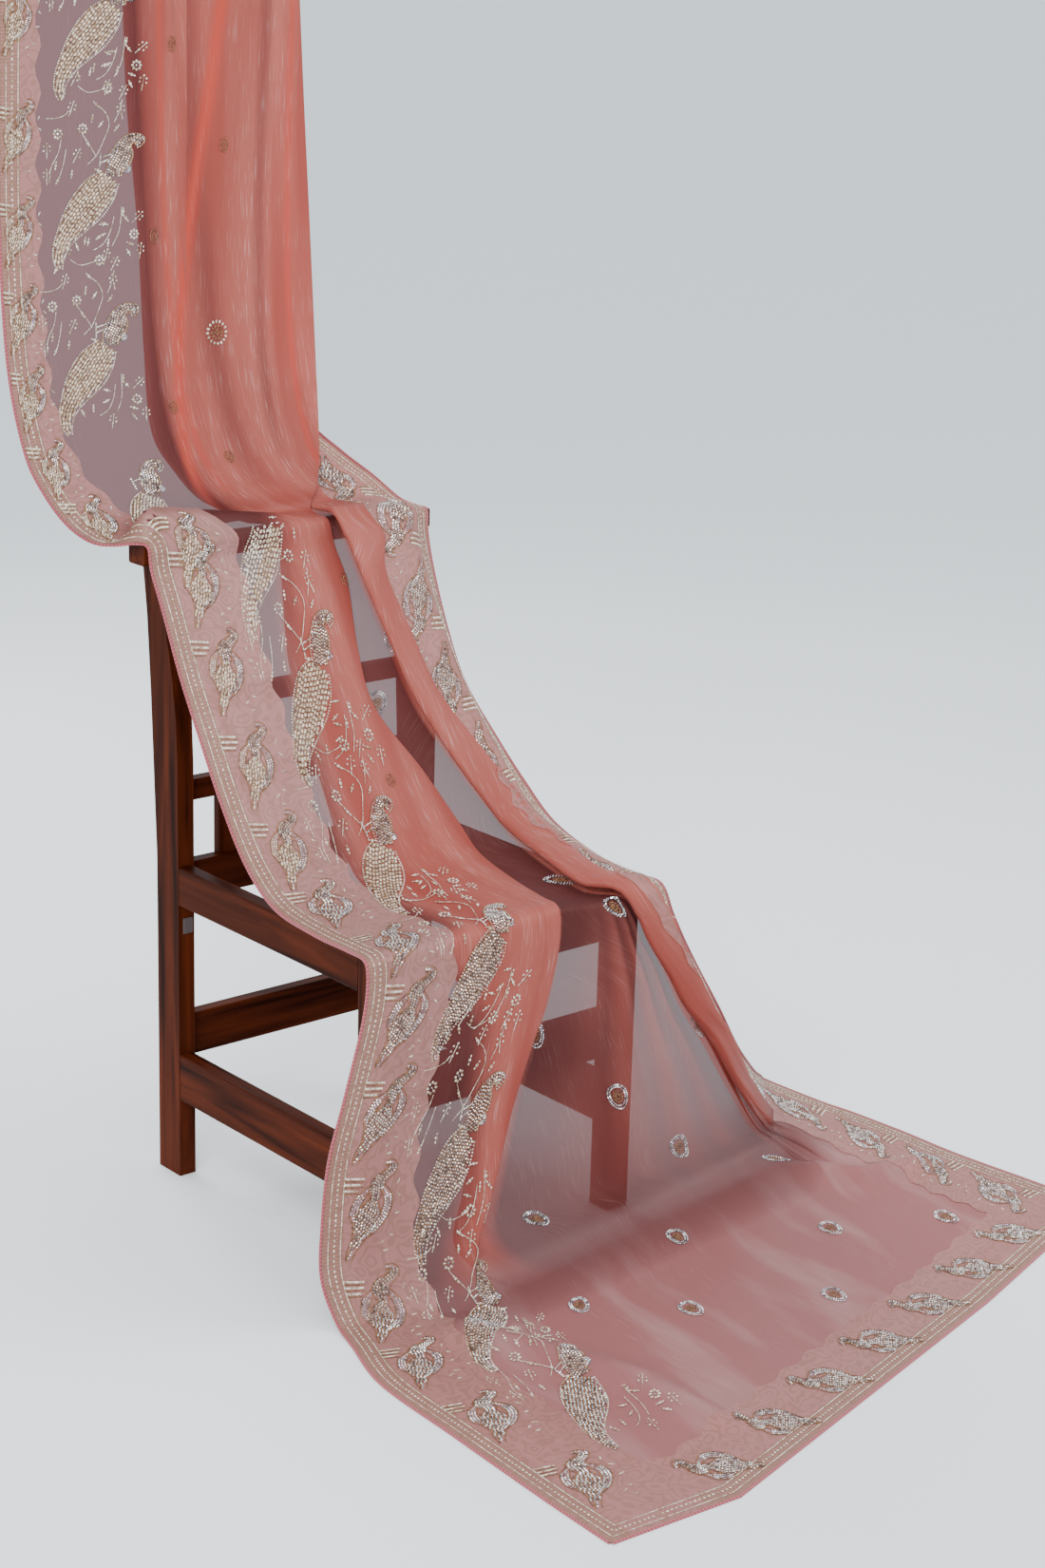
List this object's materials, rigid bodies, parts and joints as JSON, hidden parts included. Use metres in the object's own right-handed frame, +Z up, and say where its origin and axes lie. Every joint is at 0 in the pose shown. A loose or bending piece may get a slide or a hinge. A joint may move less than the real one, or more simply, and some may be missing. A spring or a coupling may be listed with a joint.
{
  "type": "organza saree draped over a wooden chair",
  "caption": "Sheer embroidered organza saree hanging down over the back and open seat of a wooden ladder-back chair, its bordered end spread over the floor.",
  "frame": {"origin": "middle of the footprint's box, on the floor", "axes": "+X right along the chair's front, +Y from the chair's front to its back, +Z up"},
  "size_m": [1.147, 1.2132, 2.01],
  "materials": {
    "organza": "sheer organza with a silky sheen",
    "tissue": "dusty pink tissue with metallic thread",
    "piping": "rose red cord, matte",
    "wood": "dark reddish brown, satin varnish",
    "steel": "dull zinc plate"
  },
  "bodies": {
    "root": {"saree_drop": "organza", "border_left_drop": "tissue", "border_right_drop": "tissue", "saree_fall": "organza", "border_left_fall": "tissue", "border_right_fall": "tissue", "saree_front": "organza", "border_left_front": "tissue", "border_right_front": "tissue", "saree_floor": "organza", "border_left_floor": "tissue", "border_right_floor": "tissue", "border_end_floor": "tissue", "piping_left": "piping", "piping_right": "piping", "piping_end": "piping", "saree_folded_rest": "organza", "chair_post_left": "wood", "chair_post_right": "wood", "chair_leg_left": "wood", "chair_leg_right": "wood", "chair_seat_rail_left": "wood", "chair_seat_rail_right": "wood", "chair_low_rail_left": "wood", "chair_low_rail_right": "wood", "chair_seat_rail_front": "wood", "chair_stretcher_front": "wood", "chair_seat_rail_back": "wood", "chair_stretcher_back": "wood", "chair_slat_lower": "wood", "chair_slat_upper": "wood", "chair_upright_left": "wood", "chair_upright_right": "wood", "chair_top_rail": "wood", "chair_bracket": "steel"}
  },
  "joints": []
}
